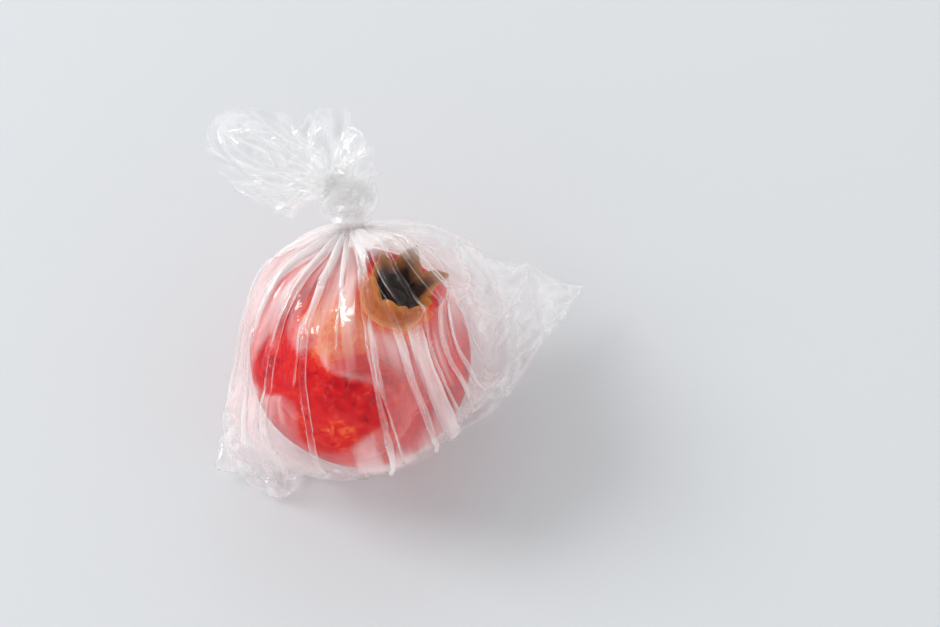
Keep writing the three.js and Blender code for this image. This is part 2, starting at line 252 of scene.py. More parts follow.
def fruit():
    turn = np.arange(FRUIT_COLUMNS) * 2 * np.pi / FRUIT_COLUMNS
    rows, tones = zip(*rind_rows(turn), *crown_rows(turn), *cup_rows(turn))
    points = np.array(rows)
    points[..., 2] = np.maximum(points[..., 2], FRUIT_FLOOR)
    pole = CENTRE - CROWN * FRUIT_HALF_HEIGHT
    pole[2] = max(pole[2], FRUIT_FLOOR)
    cup_floor = CENTRE + CROWN * CUP_FLOOR
    ids = np.arange(len(rows) * FRUIT_COLUMNS).reshape(len(rows), FRUIT_COLUMNS)
    faces = ring_faces(ids).tolist()
    for k in range(FRUIT_COLUMNS):
        after = (k + 1) % FRUIT_COLUMNS
        faces.append([ids.size, int(ids[0, after]), int(ids[0, k])])
        faces.append([ids.size + 1, int(ids[-1, k]), int(ids[-1, after])])
    points = np.vstack([points.reshape(-1, 3), pole, cup_floor])
    tones = np.concatenate([np.array(tones).ravel(), [0.0, 2.0]])
    return mesh_object("pomegranate_rind", points, faces, {"tone": tones})


# The film: a tube closed by a seam across one end

AROUND = 420.0
NECK_DISTANCE = 49.5
NECK_SIZE = 5.6
FILM_CLEARANCE = 0.35
FILM_STANDOFF = 2.0
FILM_FLOOR = 0.08
SEAM_TURN = math.radians(8)
SEAM_WAY = math.cos(SEAM_TURN) * NECK_SIDE + math.sin(SEAM_TURN) * NECK_UNDER
PANEL_WAY = np.cross(NECK, SEAM_WAY)

# The film keeps out of a trumpet round the crown, which is as wide at the top as the sepals spread.
CROWN_LOW = 34.0
CROWN_TOP = 55.3
CROWN_SPREAD = 17.2

# Where the film clings to the fruit, by the way there from the fruit's middle
CLING = unit(np.array([-0.39, -0.55, 0.74]))
CLING_REACH = math.radians(28)
CLING_FROM = 7.0
CLING_SINK = 1.2
CLING_PULL = 0.08
# The degrees from there over which the film leaves the fruit, and how far that edge wanders
CLING_EDGE = (27, 35)
CLING_WANDER = 4

# Where points of the seam and of the two corners lie, from the fruit's middle, by the way along the seam
# from the right corner and the way up from it.
HELD_PLACES = {
    (0, 54): (42.0, 40.0, 11.0),
    (0, 27): (64.0, 40.0, -3.0),
    (0, 0): (85.0, 36.0, -19.0),
    (24, 0): (70.5, 21.5, -30.0),
    (48, 0): (56.0, 7.0, -40.3),
    (80, 0): (35.2, -13.0, -40.3),
    (130, 0): (3.7, -32.0, -40.3),
    (160, 0): (-18.0, -32.6, -40.3),
    (191, 0): (-40.0, -34.0, -40.3),
    (210, 0): (-56.0, -32.7, -35.5),
    (210, 12): (-55.0, -22.0, -31.6),
    (210, 31): (-43.5, -21.8, -13.3),
}

# Pleats that run from the neck towards the seam: where they lie round the tube, how much film each takes
# at the neck and at its far end, how far down the pouch it runs, and the side that it is laid down to.
PLEATS = (
    (160, 12, 9, 0.9, 1),
    (180, 12, 9, 0.9, -1),
    (197, 8, 6, 0.7, 1),
    (216, 6, 4, 0.55, 1),
    (225, 9, 5, 0.75, -1),
    (236, 6, 4, 0.6, 1),
    (247, 12, 8, 0.9, -1),
    (259, 5, 4, 0.45, 1),
    (269, 9, 6, 1.0, -1),
    (281, 6, 3, 0.35, 1),
    (294, 9, 6, 1.0, 1),
    (304, 11, 3, 0.7, -1),
    (316, 11, 5, 1.0, 1),
    (331, 17, 14, 1.0, 1),
    (349, 6, 4, 1.0, -1),
    (357, 8, 5, 0.9, 1),
    (368, 6, 4, 0.75, 1),
)
PLEAT_EDGE_GAP = 0.6
PLEAT_FOLD_GAP = 0.9
PLEAT_STRETCH = 0.35
PLEAT_SQUEEZE = 0.1

# How much film lies between the seam and the neck, by the way round the tube from the right corner, and
# over what way the lengths blend.
POUCH_LENGTHS = {
    0: 104,
    50: 110,
    82: 128,
    121: 146,
    169: 126,
    210: 121,
    251: 126,
    299: 142,
    338: 142,
    370: 116,
}
LENGTH_BLEND = 18


def pouch_length(x):
    places = np.array(list(POUCH_LENGTHS))
    lengths = np.array(list(POUCH_LENGTHS.values()), float)
    near = [
        np.interp((x + off) % AROUND, places, lengths, period=AROUND)
        for off in np.linspace(-LENGTH_BLEND, LENGTH_BLEND, 13)
    ]
    return np.mean(near, axis=0)


class Film:
    """A grid of points on film, held apart by the lengths that the film has when it lies flat."""

    def __init__(self, grid, around, along, zipped, bend, uneven=None):
        rows, columns = grid.shape[:2]
        self.shape = (rows, columns)
        self.ids = np.arange(rows * columns).reshape(rows, columns)
        if zipped:
            zip_seam(self.ids)
        self.points = grid.reshape(-1, 3).copy()
        self.before = self.points.copy()
        self.weight = np.ones(rows * columns)
        self.around, self.bend = around, bend
        self.along = np.broadcast_to(along, (columns,))
        self.uneven = np.zeros(rows * columns) if uneven is None else uneven.ravel()
        self.link()

    def link(self):
        """Joins each point to those near it, by links that resist stretch and squeeze in their own shares."""
        rows, columns = self.shape
        self.links = []
        for rise, turn, stretch, squeeze in (
            (0, 4, 0.0, self.bend * 0.6),
            (3, 0, 0.0, self.bend * 0.6),
            (0, 2, 0.0, self.bend),
            (2, 0, 0.0, self.bend),
            (1, 1, 0.5, 0.35),
            (1, -1, 0.5, 0.35),
            (0, 1, 1.0, 0.6),
            (1, 0, 1.0, 0.6),
        ):
            a = self.ids[: rows - rise]
            b = np.roll(self.ids, -turn, axis=1)[rise:]
            rest = np.hypot(rise * self.along, turn * self.around) * (1 + self.uneven[a])
            if rise:
                key = np.broadcast_to((np.arange(rows - rise) // rise % 2)[:, None], a.shape)
            else:
                key = np.broadcast_to((np.arange(columns) // turn % 2)[None, :], a.shape)
            for group in (0, 1):
                chosen = key == group
                self.links.append((a[chosen], b[chosen], rest[chosen], stretch, squeeze))

    def at(self, row, x):
        """The points in these rows that lie nearest to x, the way round."""
        return self.ids[row, np.round(x / self.around).astype(int) % self.shape[1]]

    def pleat(self):
        """Ties the two edges of each pleat together, with less film in it further from the neck."""
        rows = self.shape[0]
        inner = np.arange(1, rows - 1)
        share = (rows - 1 - inner) / (rows - 1)
        for place, at_neck, at_end, reach, side in PLEATS:
            taken = mixed(at_neck, at_end, share / reach) * (share < reach)
            row, width = inner[taken > self.around], taken[taken > self.around]
            middle = np.full(len(width), place)
            self.tie(self.at(row, place - width / 2), self.at(row, place + width / 2), PLEAT_EDGE_GAP)
            self.tie(self.at(row, middle), self.at(row, place + width * side), PLEAT_FOLD_GAP)

    def tie(self, a, b, rest):
        apart = a != b
        rest = np.full(apart.sum(), rest)
        self.links.append((a[apart], b[apart], rest, PLEAT_STRETCH, PLEAT_SQUEEZE))

    def hold(self):
        """Moves the two points of each link towards the length that it has at rest."""
        w, p = self.weight, self.points
        for a, b, rest, stretch, squeeze in self.links:
            d = p[b] - p[a]
            length = np.sqrt(np.einsum("ij,ij->i", d, d)) + 1e-9
            off = length - rest
            stiff = np.where(off > 0, stretch, squeeze)
            d *= (stiff * off / (length * (w[a] + w[b] + 1e-9)))[:, None]
            p[a] += w[a][:, None] * d
            p[b] -= w[b][:, None] * d

    def drift(self, keep, fall):
        """Lets the points go on as they moved, keeping a share of the speed, and fall a little."""
        step = (self.points - self.before) * keep
        step[:, 2] -= fall
        self.before = self.points.copy()
        self.points += step * self.weight[:, None]

    def grid(self):
        return self.points[self.ids]


puff_way = unit(random.normal(size=(10, 3)))
puff_phase = random.uniform(0, 2 * np.pi, 10)

# Where the film stands well off the fruit: the way there from its middle, how wide in degrees, and how far.
# The first two are cloudier than the rest of the film.
PUFFS = (
    ((-0.617, 0.568, 0.55), 30, 5.0),
    ((-0.75, -0.655, 0.06), 24, 5.0),
    ((0.25, -0.9, 0.25), 26, 2.5),
    ((-0.42, -0.09, 0.9), 15, 2.4),
)
CLOUDY_PUFFS = PUFFS[:2]


def clearance(direction):
    """How far the film stays off the fruit: next to nothing where it clings, a few millimetres elsewhere."""
    uneven = np.cos(7 * direction @ puff_way.T + puff_phase).sum(-1)
    from_cling = degrees_from(direction, CLING) + CLING_WANDER * uneven
    off = FILM_CLEARANCE + FILM_STANDOFF * smooth(from_cling, *CLING_EDGE)
    for way, width, lift in PUFFS:
        off = off + lift * smooth(degrees_from(direction, way), width, 0)
    return off


def off_fruit(film, friction):
    """Puts points that have gone into the fruit, its crown or the table back on the surface."""
    p = film.points
    v = p - CENTRE
    height, x, y = v @ CROWN, v @ CROWN_SIDE, v @ CROWN_UNDER
    radius = np.hypot(x, y)
    depth = np.hypot(height / FRUIT_HALF_HEIGHT, radius / FRUIT_RADIUS)
    limit = 1 + clearance(unit(v)) / FRUIT_RADIUS
    inside = depth < limit
    p[inside] = CENTRE + v[inside] * (limit[inside] / depth[inside])[:, None]
    share = np.clip((height - CROWN_FOOT) / (CROWN_TOP - CROWN_FOOT), 0, 1)
    wall = mixed(CROWN_BASE_RADIUS, CROWN_SPREAD, share**2)
    crown = (height > CROWN_LOW) & (radius < wall) & (height < CROWN_TOP)
    sideways = crown & (wall - radius < CROWN_TOP - height)
    upward = crown & ~sideways
    out = x[sideways, None] * CROWN_SIDE + y[sideways, None] * CROWN_UNDER
    out = out / (radius[sideways, None] + 1e-6)
    p[sideways] += out * (wall - radius)[sideways, None]
    p[upward] += CROWN * (CROWN_TOP - height)[upward, None]
    low = p[:, 2] < FILM_FLOOR
    p[low, 2] = FILM_FLOOR
    touching = inside | crown | low
    p[touching] = mixed(p[touching], film.before[touching], friction)
    p[low, 2] = FILM_FLOOR


def cling(film):
    """Draws the film that lies over the cling patch onto the fruit."""
    v = film.points - CENTRE
    distance = np.linalg.norm(v, axis=1)
    near = (v @ CLING) / distance > math.cos(CLING_REACH)
    near &= distance < FRUIT_RADIUS + CLING_FROM
    target = FRUIT_RADIUS + FILM_CLEARANCE - CLING_SINK
    film.points[near] -= v[near] * (CLING_PULL * (distance[near] - target) / distance[near])[:, None]


FOLDS = 22
FOLD_CORE = 0.25
fold_widths = random.uniform(9, 27, FOLDS)
fold_widths *= AROUND / fold_widths.sum()
fold_starts = np.concatenate([[0], np.cumsum(fold_widths)])
fold_reach = random.uniform(0.6, 1.0, FOLDS)


def rosette(columns):
    """The gathered tube's section: for each column, across and up of its place in a round of unit size."""
    x = np.arange(columns) * AROUND / columns
    fold = np.clip(np.searchsorted(fold_starts, x, side="right") - 1, 0, FOLDS - 1)
    share = (x - fold_starts[fold]) / fold_widths[fold]
    out = 1 - np.abs(2 * share - 1)
    radius = FOLD_CORE + (1 - FOLD_CORE) * fold_reach[fold] * out
    turn = 2 * np.pi * (x / AROUND) + 0.12 * np.sin(5 * np.pi * x / 90)
    return radius * np.cos(turn), radius * np.sin(turn)


def ring_at(middle, across, up, size, columns):
    a, b = rosette(columns)
    return middle + size * (a[:, None] * across + b[:, None] * up)


POUCH_ROWS = 61
POUCH_COLUMNS = 208
OPEN_HALF_WIDTH = 81.0
OPEN_HALF_DEPTH = 44.0
OPENING_RUN = 55
SEAM_DEPTH = 64.0
START_RIPPLE = 0.8
GATHER_STEPS = 420
SETTLE_STEPS = 60


def oval_at(turn):
    return np.stack([OPEN_HALF_WIDTH * np.cos(turn), OPEN_HALF_DEPTH * np.sin(turn)], 1)


def arc_lengths(line):
    return np.concatenate([[0], np.cumsum(np.linalg.norm(np.diff(line, axis=0), axis=1))])


def pouch_tube():
    """The bag before it is gathered: an oval tube round the fruit that closes flat at the seam."""
    t = np.linspace(0, 2 * np.pi, 4000, endpoint=False)
    arc = arc_lengths(oval_at(t))
    at = np.arange(POUCH_COLUMNS) / POUCH_COLUMNS
    oval = oval_at(np.interp(at * (arc[-1] + arc[1]), arc, t))
    half = AROUND / 2
    seam = np.stack([np.abs(at * AROUND - half) - half / 2, np.zeros(POUCH_COLUMNS)], 1)
    step = pouch_length(at * AROUND) / (POUCH_ROWS - 1)
    height = np.full(POUCH_COLUMNS, -SEAM_DEPTH)
    grid = np.zeros((POUCH_ROWS, POUCH_COLUMNS, 3))
    last = seam
    for row in range(POUCH_ROWS):
        opened = np.sin(np.pi / 2 * np.minimum(1, row * step / OPENING_RUN))
        section = mixed(seam, oval, opened[:, None])
        moved = np.linalg.norm(section - last, axis=1)
        if row:
            height = height + np.sqrt(np.maximum(step**2 - moved**2, (0.25 * step) ** 2))
        grid[row] = (
            CENTRE
            + section[:, :1] * SEAM_WAY
            + section[:, 1:] * PANEL_WAY
            + height[:, None] * NECK
        )
        last = section
    return grid


def between(points):
    """Points halfway between each two but the outermost, on a smooth curve through them."""
    return (9 * (points[1:-2] + points[2:-1]) - (points[:-3] + points[3:])) / 16


def finer(grid, zipped):
    """The grid with a point added between each two."""
    ring = np.concatenate([grid[:, -1:], grid, grid[:, :2]], axis=1)
    middle = between(ring.swapaxes(0, 1)).swapaxes(0, 1)
    wide = np.stack([grid, middle], axis=2).reshape(grid.shape[0], -1, 3)
    if zipped:
        zip_seam(wide)
    ends = np.concatenate([2 * wide[:1] - wide[1:2], wide, 2 * wide[-1:] - wide[-2:-1]])
    tall = np.zeros((2 * wide.shape[0] - 1, wide.shape[1], 3))
    tall[::2] = wide
    tall[1::2] = between(ends)
    return tall


def crinkles(source, shape, most):
    """Small uneven changes of length over the film, which make it pucker."""
    rough = blurred(source.normal(size=shape), (0, 1))
    return most * np.tanh(rough / rough.std())


def held_points(film):
    """The points of the seam and corners that are drawn to a known place, and those places."""
    ids, places = [], []
    for (x, y), place in HELD_PLACES.items():
        column = int(round(x / film.around)) % film.shape[1]
        ids.append(film.ids[int(round(y / film.along[column])), column])
        places.append(CENTRE + np.array(place))
    return np.array(ids), np.array(places)


def gathered_pouch():
    """The tube over the fruit, drawn together at the neck, with its seam and corners put in place."""
    around = AROUND / POUCH_COLUMNS
    along = pouch_length(np.arange(POUCH_COLUMNS) * around) / (POUCH_ROWS - 1)
    start = pouch_tube()
    ripple = blurred(random.normal(size=start.shape), (1,))
    start += START_RIPPLE * ripple * smooth(np.arange(POUCH_ROWS), 4, 20)[:, None, None]
    film = Film(start, around, along, zipped=True, bend=0.06)
    film.pleat()
    seam, places = held_points(film)
    held = np.concatenate([film.ids[-1], seam])
    film.weight[held] = 0
    begin = film.points[held].copy()
    neck = ring_at(CENTRE + NECK * NECK_DISTANCE, SEAM_WAY, PANEL_WAY, NECK_SIZE, POUCH_COLUMNS)
    end = np.vstack([neck, places])
    at_neck = np.arange(len(held)) < POUCH_COLUMNS
    for step in range(GATHER_STEPS):
        drawn = smooth(step / GATHER_STEPS, 0.0, 0.6)
        reached = np.where(at_neck, drawn, smooth(step / GATHER_STEPS, 0.0, 0.25))
        film.points[held] = mixed(begin, end, reached[:, None])
        film.before[held] = film.points[held]
        film.drift(keep=0.85, fall=0.004)
        if drawn > 0.9:
            cling(film)
        film.hold()
        off_fruit(film, friction=0.03 if step < 0.7 * GATHER_STEPS else 0.2)
    return settled_pouch(film)


def settled_pouch(coarse):
    """The gathered film on a finer grid, where it puckers and settles."""
    grid = finer(coarse.grid(), zipped=True)
    columns = grid.shape[1]
    along = np.interp(np.arange(columns) / 2, np.arange(columns // 2), coarse.along) / 2
    uneven = crinkles(random, grid.shape[:2], most=0.08)
    film = Film(grid, coarse.around / 2, along, zipped=True, bend=0.05, uneven=uneven)
    film.pleat()
    film.weight[film.ids[-1]] = 0
    film.weight[held_points(film)[0]] = 0
    for _ in range(SETTLE_STEPS):
        film.drift(keep=0.8, fall=0.002)
        cling(film)
        film.hold()
        film.hold()
        off_fruit(film, friction=0.3)
    return film.grid()


# The knot: the gathered tube, led once round itself and through its own loop.
# Places are across the neck, along it and out from it, from the knot's middle.
KNOT_DISTANCE = 60.0
KNOT_PLACES = np.array([
    (0.0, -10.5, 0.0),
    (0.0, -6.5, 0.5),
    (1.5, 0.0, 2.4),
    (6.0, 4.4, 1.0),
    (5.4, 4.8, -4.2),
    (-2.4, 2.4, -5.8),
    (-7.2, -0.8, -1.0),
    (-4.2, -2.8, 5.4),
    (3.6, -2.0, 6.2),
    (6.8, 1.0, 1.0),
    (2.4, 3.6, -0.6),
    (-2.6, 5.2, 0.8),
    (-5.6, 7.0, 1.6),
])
# The gathered tube's size by its share of the way through the knot
KNOT_SIZES = {0: NECK_SIZE, 0.08: 4.8, 0.2: 4.3, 0.8: 4.3, 1: 5.4}
KNOT_RINGS = 52
KNOT_RIPPLE = 0.5


def spline(places, count):
    """Points at even steps on a smooth curve through the places."""
    ends = np.vstack([2 * places[0] - places[1], places, 2 * places[-1] - places[-2]])
    t = np.linspace(0, 1, 40, endpoint=False)[:, None]
    pieces = []
    for k in range(len(places) - 1):
        p0, p1, p2, p3 = ends[k : k + 4]
        square = 2 * p0 - 5 * p1 + 4 * p2 - p3
        cube = 3 * p1 - p0 - 3 * p2 + p3
        pieces.append(0.5 * (2 * p1 + (p2 - p0) * t + square * t**2 + cube * t**3))
    line = np.vstack([*pieces, places[-1:]])
    arc = arc_lengths(line)
    even = np.linspace(0, arc[-1], count)
    return np.stack([np.interp(even, arc, line[:, k]) for k in range(3)], 1)


def knot_rings(columns):
    """The gathered tube's rings through the knot, and the frame at their end."""
    local = spline(KNOT_PLACES, KNOT_RINGS)
    middle = (
        CENTRE
        + NECK * KNOT_DISTANCE
        + local[:, :1] * NECK_SIDE
        + local[:, 1:2] * NECK
        - local[:, 2:] * NECK_UNDER
    )
    ahead = unit(np.gradient(middle, axis=0))
    across = SEAM_WAY
    size = np.interp(np.linspace(0, 1, KNOT_RINGS), list(KNOT_SIZES), list(KNOT_SIZES.values()))
    ripple = blurred(random.normal(size=(KNOT_RINGS, columns)), (0, 1))
    rings = []
    for k, forward in enumerate(ahead):
        across = unit(across - forward * (across @ forward))
        up = np.cross(forward, across)
        swell = (size[k] * (1 + KNOT_RIPPLE * ripple[k]))[:, None]
        rings.append(ring_at(middle[k], across, up, swell, columns))
    return np.array(rings), (middle[-1], ahead[-1], across, up)


# The tail: the open end of the tube beyond the knot

TAIL_UP = heading(16, 93)
TAIL_FACE = np.cross(NECK_SIDE, TAIL_UP)
# How far the tail's mouth lies from its root, by the angle from level right in the tail's plane.
TAIL_REACH = {
    25: 14,
    42: 16,
    65: 20,
    83: 23,
    98: 24,
    112: 23,
    124: 25,
    134: 44,
    145: 50,
    154: 51,
    169: 42,
    185: 28,
    206: 19,
}
TAIL_STEM = 8
TAIL_ROOT_REACH = 3
TAIL_HALF_GAP = 2.5
TAIL_WAVES = 3.2
TAIL_WAVE_SHIFT = 0.37
TAIL_RUFFLE = 8.5
TAIL_RIPPLE = 7.0
TAIL_ROWS = 22


def ruffled_tail(root_ring, root):
    """A crumpled fan of film with a long lobe and a short one."""
    columns = root_ring.shape[0] // 2
    middle, forward, across, up = root
    turn = 2 * np.pi * np.arange(columns) / columns
    around = np.cos(turn)[:, None] * across + np.sin(turn)[:, None] * up
    rightward = np.cross(forward, TAIL_FACE)
    angle = np.arctan2(around @ TAIL_FACE, around @ rightward)
    left_share = np.abs(angle) / np.pi
    facing = np.sign(angle)
    spread = mixed(min(TAIL_REACH), max(TAIL_REACH), left_share)
    reach = np.interp(spread, list(TAIL_REACH), list(TAIL_REACH.values()))
    spread = np.radians(spread)
    way = np.cos(spread)[:, None] * NECK_SIDE + np.sin(spread)[:, None] * TAIL_UP
    waves = TAIL_WAVES * left_share + np.where(facing > 0, 0.0, TAIL_WAVE_SHIFT)
    ruffle = 2 * np.abs(2 * (waves - np.floor(waves + 0.5))) - 1
    start = root_ring[::2]
    grid = np.zeros((TAIL_ROWS, columns, 3))
    for row in range(TAIL_ROWS):
        share = row / (TAIL_ROWS - 1)
        stem = start + forward * TAIL_STEM * share
        fan = middle + way * (TAIL_ROOT_REACH + reach * share)[:, None]
        fan = fan + TAIL_FACE * (facing * TAIL_HALF_GAP + ruffle * TAIL_RUFFLE * share**0.8)[:, None]
        grid[row] = mixed(stem, fan, smooth(share, 0, 0.25))
    ripple = blurred(tail_random.normal(size=grid.shape), (1, 0))
    grid[2:] += TAIL_RIPPLE * ripple[2:]
    along = (reach + TAIL_STEM) / (TAIL_ROWS - 1)
    film = Film(grid, AROUND / columns, along, zipped=False, bend=0.09)
    film.weight[film.ids[:2]] = 0
    crumple(film, 130)
    grid = finer(film.grid(), zipped=False)
    along = np.repeat(film.along, 2) / 2
    uneven = crinkles(tail_random, grid.shape[:2], most=0.035)
    film = Film(grid, AROUND / columns / 2, along, zipped=False, bend=0.07, uneven=uneven)
    film.weight[film.ids[:3]] = 0
    crumple(film, 40)
    return film.grid()


def crumple(film, steps):
    for _ in range(steps):
        film.drift(keep=0.7, fall=0.0)
        film.hold()


pouch = gathered_pouch()
knot, knot_end = knot_rings(pouch.shape[1])
tail = ruffled_tail(knot[-1], knot_end)
whole_film = np.concatenate([pouch[:-1], knot, tail[1:]])
NECK_ROW = len(pouch) - 1
TAIL_ROW = NECK_ROW + len(knot)

# How cloudy and how shiny the film is, and how much its fine creases show. It counts as loose, far and wide
# of the fruit over these ranges of the gap.
LOOSE_GAP = (0.7, 1.7)
FAR_GAP = (2, 5)
WIDE_GAP = (6, 14)
CLING_HAZE = 0.001
LOOSE_HAZE = 0.18
FAR_HAZE = 0.12
WIDE_CLEARING = 0.65
CLOUDY_PUFF_GAIN = 0.7
GATHER_HAZE = 0.16
KNOT_HAZE = 0.028
CLING_SHINE = 0.006
LOOSE_SHINE = 0.06
KNOT_SHINE = 0.04
CREASE = 0.12

# The film lies clear over the crown's cup, by the way there from the fruit's middle.
OVER_CUP = (0.281, 0.129, 0.951)
OVER_CUP_EDGE = (20, 12)


def streaks(shape):
    """Long cloudy streaks along the film, from 0 to 1, as the pull of the gather leaves them."""
    total = np.zeros(shape)
    for width in (1, 14):
        cloud = blurred(random.normal(size=shape), (0, 1), rounds=width)
        cloud = blurred(cloud, (0,), rounds=60 - width)
        total += cloud / cloud.std()
    return smooth(total, -0.6, 2.4)


def film_looks(points, row, streak):
    """The film's haze, shine and creases at each point, by its gap to the fruit and its row in the tube."""
    v = points - CENTRE
    away = unit(v)
    height, x, y = v @ CROWN, v @ CROWN_SIDE, v @ CROWN_UNDER
    gap = FRUIT_RADIUS * (np.hypot(height / FRUIT_HALF_HEIGHT, np.hypot(x, y) / FRUIT_RADIUS) - 1)
    over_cup = smooth(degrees_from(away, OVER_CUP), *OVER_CUP_EDGE)
    free = smooth(gap, *LOOSE_GAP) * (1 - 0.98 * over_cup)
    gathered = smooth(row, NECK_ROW - 36, NECK_ROW - 14)
    tied = smooth(row, NECK_ROW - 8, NECK_ROW + 2)
    in_tail = smooth(row, TAIL_ROW, TAIL_ROW + 12)
    haze = CLING_HAZE + free * (LOOSE_HAZE + FAR_HAZE * smooth(gap, *FAR_GAP))
    haze *= 0.45 + 1.4 * streak
    for way, width, _ in CLOUDY_PUFFS:
        haze *= 1 + CLOUDY_PUFF_GAIN * smooth(degrees_from(away, way), width + 8, width / 2)
    haze *= 1 - WIDE_CLEARING * smooth(gap, *WIDE_GAP)
    haze += GATHER_HAZE * gathered * (1 - over_cup)
    haze = mixed(haze, KNOT_HAZE, tied)
    shine = mixed(mixed(CLING_SHINE, LOOSE_SHINE, free), KNOT_SHINE, tied)
    shine = mixed(shine, LOOSE_SHINE, in_tail)
    crease = CREASE * (1 - 0.6 * over_cup) * (1 - smooth(row, NECK_ROW - 12, NECK_ROW))
    return {"haze": haze, "shine": shine, "crease": crease}


def film_piece(grid):
    rows, columns = grid.shape[:2]
    ids = np.arange(rows * columns).reshape(rows, columns)
    zip_seam(ids)
    faces = ring_faces(ids)
    used = np.unique(faces)
    place = np.zeros(rows * columns, int)
    place[used] = np.arange(len(used))
    points = grid.reshape(-1, 3)[used]
    looks = film_looks(points, used // columns, streaks((rows, columns)).ravel()[used])
    return mesh_object("film_bag", points, place[faces].tolist(), looks)


film_obj = film_piece(whole_film)
fruit_obj = fruit()


# Materials


def new_material(name):
    material = bpy.data.materials.new(name)
    material.use_nodes = True
    tree = material.node_tree
    tree.nodes.clear()
    return material, tree


def node(tree, kind, inputs=None, **settings):
    made = tree.nodes.new(kind)
    for key, value in settings.items():
        setattr(made, key, value)
    for key, value in (inputs or {}).items():
        if isinstance(value, bpy.types.NodeSocket):
            tree.links.new(value, made.inputs[key])
        else:
            made.inputs[key].default_value = value
    return made


def maths(tree, operation, a, b, c=0.0):
    return node(tree, "ShaderNodeMath", {0: a, 1: b, 2: c}, operation=operation).outputs[0]


def noise(tree, **inputs):
    """Noise over the object's own space, in features to the metre."""
    spot = node(tree, "ShaderNodeTexCoord").outputs["Object"]
    return node(tree, "ShaderNodeTexNoise", {"Vector": spot, **inputs}).outputs["Fac"]


def bumps(tree, height, strength, distance):
    inputs = {"Strength": strength, "Distance": distance, "Height": height}
    return node(tree, "ShaderNodeBump", inputs).outputs[0]


def attribute(tree, name):
    return node(tree, "ShaderNodeAttribute", attribute_name=name).outputs["Fac"]


def blend(tree, share, first, second):
    return node(tree, "ShaderNodeMixShader", {0: share, 1: first, 2: second}).outputs[0]


def ramp_node(tree, value, stops):
    """A colour that changes through the stops as the value rises, over 0 to the last stop."""
    top = max(stops)
    made = node(tree, "ShaderNodeValToRGB", {"Fac": maths(tree, "DIVIDE", value, top)})
    elements = made.color_ramp.elements
    while len(elements) < len(stops):
        elements.new(0.5)
    for element, place in zip(elements, sorted(stops)):
        element.position = place / top
        element.color = stops[place]
    return made.outputs["Color"]


FILM_WHITE = (0.99, 0.993, 0.996, 1)


def film_material():
    """Clear film that whitens with its haze, more so at a slant, and shines at its creases and rims."""
    material, tree = new_material("thin_film")
    crinkle = noise(tree, Scale=160.0, Detail=2.0, Roughness=0.6, Distortion=0.6)
    facing = node(tree, "ShaderNodeLayerWeight", {"Blend": 0.5}).outputs["Facing"]
    clear = maths(tree, "SUBTRACT", 1.0, attribute(tree, "haze"))
    across = maths(tree, "MAXIMUM", maths(tree, "SUBTRACT", 1.0, facing), 0.2)
    through = maths(tree, "POWER", clear, maths(tree, "DIVIDE", 1.0, across))
    ridge = maths(tree, "ABSOLUTE", maths(tree, "SUBTRACT", crinkle, 0.5), 0.0)
    line = node(
        tree, "ShaderNodeMapRange", {"Value": ridge, "From Max": 0.015, "To Min": 1.0, "To Max": 0.0}
    )
    creased = maths(tree, "MULTIPLY", line.outputs[0], attribute(tree, "crease"))
    veil = maths(tree, "MAXIMUM", maths(tree, "SUBTRACT", 1.0, through), creased)
    rim = maths(tree, "POWER", facing, 5.0)
    fresnel = maths(tree, "MULTIPLY_ADD", rim, 0.7, attribute(tree, "shine"))
    clear_film = node(tree, "ShaderNodeBsdfTransparent", {"Color": (1, 1, 1, 1)}).outputs[0]
    white = node(tree, "ShaderNodeBsdfDiffuse", {"Color": FILM_WHITE}).outputs[0]
    lit_through = node(tree, "ShaderNodeBsdfTranslucent", {"Color": FILM_WHITE}).outputs[0]
    body = blend(tree, veil, clear_film, blend(tree, 0.5, white, lit_through))
    gloss = node(
        tree,
        "ShaderNodeBsdfGlossy",
        {"Color": (1, 1, 1, 1), "Roughness": 0.09, "Normal": bumps(tree, crinkle, 0.3, 0.0012)},
    )
    surface = blend(tree, fresnel, body, gloss.outputs[0])
    node(tree, "ShaderNodeOutputMaterial", {"Surface": surface})
    return material


